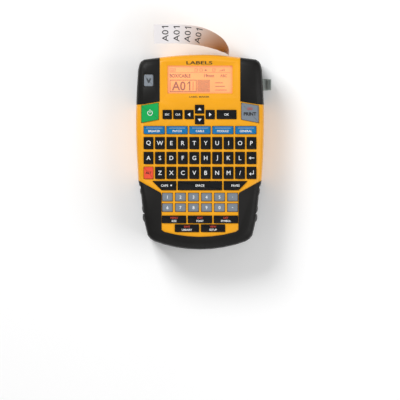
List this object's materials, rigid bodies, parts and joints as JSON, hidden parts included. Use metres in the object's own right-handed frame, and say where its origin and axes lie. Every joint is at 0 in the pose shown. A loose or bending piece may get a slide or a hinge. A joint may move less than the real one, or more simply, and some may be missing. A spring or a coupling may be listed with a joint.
{
  "type": "label maker",
  "caption": "Handheld label maker with a keypad, small display, rubber corner guards, cutter lever and a label curling from its top edge.",
  "frame": {"origin": "centre of the back's rest foot, on the body's centreline and mid-length", "axes": "+X to the right and +Y to the label exit, seen from the key face; +Z out of the key face"},
  "size_m": [0.1356, 0.2253, 0.0545],
  "materials": {
    "amber_panel": "gloss",
    "black_key": "satin",
    "black_rubber": "matte",
    "blue_key": "satin",
    "brass_pinion": "satin",
    "cell_jacket": "gloss",
    "dark_plastic": "satin",
    "door_lens": "gloss",
    "gear_plastic": "satin",
    "green_board": "gloss",
    "green_key": "satin",
    "grey_key": "satin",
    "grey_silicone": "matte",
    "head_ceramic": "matte",
    "label_tape": "satin",
    "lever_plastic": "satin",
    "printed_tape": "satin",
    "red_key": "satin",
    "ribbon_film": "gloss",
    "roller_rubber": "matte",
    "silver_button": "satin",
    "steel": "brushed",
    "white_plastic": "satin",
    "window_lens": "gloss",
    "yellow_case": "satin"
  },
  "bodies": {
    "root": {"front_case": "yellow_case", "rear_case": "yellow_case", "left_corner_guard": "black_rubber", "right_corner_guard": "black_rubber", "lower_bumper": "black_rubber", "display_window": "window_lens", "display_panel": "amber_panel", "display_backlight": "white_plastic", "keypad_mat": "grey_silicone", "main_board": "green_board", "board_screws": "steel", "case_screws": "steel", "rear_feet": "black_rubber", "door_pin": "steel", "battery_cells": "cell_jacket", "battery_contacts": "steel", "tape_cassette": "dark_plastic", "print_head": "head_ceramic", "drive_chassis": "dark_plastic", "drive_motor": "steel", "cutter_pivot": "steel", "cutter_spring": "steel", "inner_tape": "label_tape", "printed_label": "printed_tape"},
    "platen": {"platen_roller": "roller_rubber", "platen_gear": "gear_plastic"},
    "reduction": {"reduction_gear": "gear_plastic"},
    "idler": {"idler_gear": "gear_plastic"},
    "pinion": {"motor_pinion": "brass_pinion"},
    "ribbon_drive": {"ribbon_spindle": "gear_plastic", "ribbon_spool": "ribbon_film"},
    "tape_reel": {"tape_spool": "label_tape"},
    "lever": {"cutter_lever": "lever_plastic"},
    "cutter": {"cutter_carrier": "dark_plastic", "cutter_blade": "steel"},
    "tape_door": {"cassette_door": "yellow_case", "door_window": "door_lens"},
    "battery_hatch": {"battery_door": "yellow_case"},
    "release": {"release_button": "silver_button"},
    "power_cap": {"power_key": "green_key"},
    "print_cap": {"print_key": "grey_key"},
    "escape_cap": {"escape_key": "black_key"},
    "clear_cap": {"clear_key": "black_key"},
    "left_cap": {"left_key": "black_key"},
    "right_cap": {"right_key": "black_key"},
    "up_cap": {"up_key": "black_key"},
    "down_cap": {"down_key": "black_key"},
    "ok_cap": {"ok_key": "black_key"},
    "hots_group": {"hot_keys": "blue_key"},
    "letters_upper_group": {"letter_keys_upper": "black_key"},
    "letters_middle_group": {"letter_keys_middle": "black_key"},
    "letters_lower_group": {"letter_keys_lower": "black_key"},
    "alternate_cap": {"alternate_key": "red_key"},
    "caps_cap": {"caps_key": "black_key"},
    "space_cap": {"space_key": "black_key"},
    "favourites_cap": {"favourites_key": "black_key"},
    "numbers_upper_group": {"number_keys_upper": "grey_key"},
    "numbers_lower_group": {"number_keys_lower": "grey_key"},
    "functions_upper_group": {"function_keys_upper": "black_key"},
    "functions_lower_group": {"function_keys_lower": "black_key"}
  },
  "joints": [
    {"name": "power_press", "type": "slide", "parent": "root", "child": "power_cap", "axis": [0, 0, -1], "range_m": [0, 0.001], "stiffness_N_per_m": 300},
    {"name": "print_press", "type": "slide", "parent": "root", "child": "print_cap", "axis": [0, 0, -1], "range_m": [0, 0.001], "stiffness_N_per_m": 300},
    {"name": "escape_press", "type": "slide", "parent": "root", "child": "escape_cap", "axis": [0, 0, -1], "range_m": [0, 0.001], "stiffness_N_per_m": 300},
    {"name": "clear_press", "type": "slide", "parent": "root", "child": "clear_cap", "axis": [0, 0, -1], "range_m": [0, 0.001], "stiffness_N_per_m": 300},
    {"name": "left_press", "type": "slide", "parent": "root", "child": "left_cap", "axis": [0, 0, -1], "range_m": [0, 0.001], "stiffness_N_per_m": 300},
    {"name": "right_press", "type": "slide", "parent": "root", "child": "right_cap", "axis": [0, 0, -1], "range_m": [0, 0.001], "stiffness_N_per_m": 300},
    {"name": "up_press", "type": "slide", "parent": "root", "child": "up_cap", "axis": [0, 0, -1], "range_m": [0, 0.001], "stiffness_N_per_m": 300},
    {"name": "down_press", "type": "slide", "parent": "root", "child": "down_cap", "axis": [0, 0, -1], "range_m": [0, 0.001], "stiffness_N_per_m": 300},
    {"name": "ok_press", "type": "slide", "parent": "root", "child": "ok_cap", "axis": [0, 0, -1], "range_m": [0, 0.001], "stiffness_N_per_m": 300},
    {"name": "hots_press", "type": "slide", "parent": "root", "child": "hots_group", "axis": [0, 0, -1], "range_m": [0, 0.001], "stiffness_N_per_m": 1500},
    {"name": "letters_upper_press", "type": "slide", "parent": "root", "child": "letters_upper_group", "axis": [0, 0, -1], "range_m": [0, 0.001], "stiffness_N_per_m": 3000},
    {"name": "letters_middle_press", "type": "slide", "parent": "root", "child": "letters_middle_group", "axis": [0, 0, -1], "range_m": [0, 0.001], "stiffness_N_per_m": 3000},
    {"name": "letters_lower_press", "type": "slide", "parent": "root", "child": "letters_lower_group", "axis": [0, 0, -1], "range_m": [0, 0.001], "stiffness_N_per_m": 3000},
    {"name": "alternate_press", "type": "slide", "parent": "root", "child": "alternate_cap", "axis": [0, 0, -1], "range_m": [0, 0.001], "stiffness_N_per_m": 300},
    {"name": "caps_press", "type": "slide", "parent": "root", "child": "caps_cap", "axis": [0, 0, -1], "range_m": [0, 0.001], "stiffness_N_per_m": 300},
    {"name": "space_press", "type": "slide", "parent": "root", "child": "space_cap", "axis": [0, 0, -1], "range_m": [0, 0.001], "stiffness_N_per_m": 300},
    {"name": "favourites_press", "type": "slide", "parent": "root", "child": "favourites_cap", "axis": [0, 0, -1], "range_m": [0, 0.001], "stiffness_N_per_m": 300},
    {"name": "numbers_upper_press", "type": "slide", "parent": "root", "child": "numbers_upper_group", "axis": [0, 0, -1], "range_m": [0, 0.001], "stiffness_N_per_m": 1800},
    {"name": "numbers_lower_press", "type": "slide", "parent": "root", "child": "numbers_lower_group", "axis": [0, 0, -1], "range_m": [0, 0.001], "stiffness_N_per_m": 1800},
    {"name": "functions_upper_press", "type": "slide", "parent": "root", "child": "functions_upper_group", "axis": [0, 0, -1], "range_m": [0, 0.001], "stiffness_N_per_m": 900},
    {"name": "functions_lower_press", "type": "slide", "parent": "root", "child": "functions_lower_group", "axis": [0, 0, -1], "range_m": [0, 0.001], "stiffness_N_per_m": 900},
    {"name": "release_press", "type": "slide", "parent": "root", "child": "release", "axis": [0, 0, -1], "range_m": [0, 0.0025], "stiffness_N_per_m": 300},
    {"name": "reduction_spin", "type": "hinge", "parent": "root", "child": "reduction", "pos_m": [0.02905, 0.04073, 0.03], "axis": [0, 0, 1], "continuous": true},
    {"name": "idler_spin", "type": "hinge", "parent": "root", "child": "idler", "pos_m": [0.03195, 0.05896, 0.03], "axis": [0, 0, 1], "continuous": true},
    {"name": "platen_spin", "type": "hinge", "parent": "root", "child": "platen", "pos_m": [0.0329, 0.079, 0.03], "axis": [0, 0, 1], "continuous": true},
    {"name": "pinion_spin", "type": "hinge", "parent": "root", "child": "pinion", "pos_m": [0.0475, 0.04, 0.03], "axis": [0, 0, 1], "continuous": true},
    {"name": "ribbon_spin", "type": "hinge", "parent": "root", "child": "ribbon_drive", "pos_m": [0.014, 0.05, 0.03], "axis": [0, 0, 1], "continuous": true},
    {"name": "reel_spin", "type": "hinge", "parent": "root", "child": "tape_reel", "pos_m": [-0.014, 0.0505, 0.03], "axis": [0, 0, 1], "continuous": true},
    {"name": "lever_press", "type": "hinge", "parent": "root", "child": "lever", "pos_m": [0.05, 0.083, 0.012], "axis": [0, 0, -1], "range_deg": [0, 9.5], "stiffness_Nm_per_rad": 0.2},
    {"name": "cutter_slide", "type": "slide", "parent": "root", "child": "cutter", "axis": [-1, 0, 0], "range_m": [0, 0.0045]},
    {"name": "tape_door_swing", "type": "hinge", "parent": "root", "child": "tape_door", "pos_m": [-0.0437, 0.054, 0.0032], "axis": [0, 1, 0], "range_deg": [0, 100]},
    {"name": "battery_hatch_swing", "type": "hinge", "parent": "root", "child": "battery_hatch", "pos_m": [0, -0.0208, 0.0032], "axis": [1, 0, 0], "range_deg": [0, 100]}
  ],
  "couplings": [
    {"joint": "idler_spin", "follows": "reduction_spin", "ratio": -0.53333},
    {"joint": "platen_spin", "follows": "reduction_spin", "ratio": 0.8},
    {"joint": "ribbon_spin", "follows": "reduction_spin", "ratio": 0.8},
    {"joint": "pinion_spin", "follows": "reduction_spin", "ratio": -2.2857},
    {"joint": "reel_spin", "follows": "reduction_spin", "ratio": -0.17778},
    {"joint": "cutter_slide", "follows": "lever_press", "m_per_rad": 0.024}
  ]
}
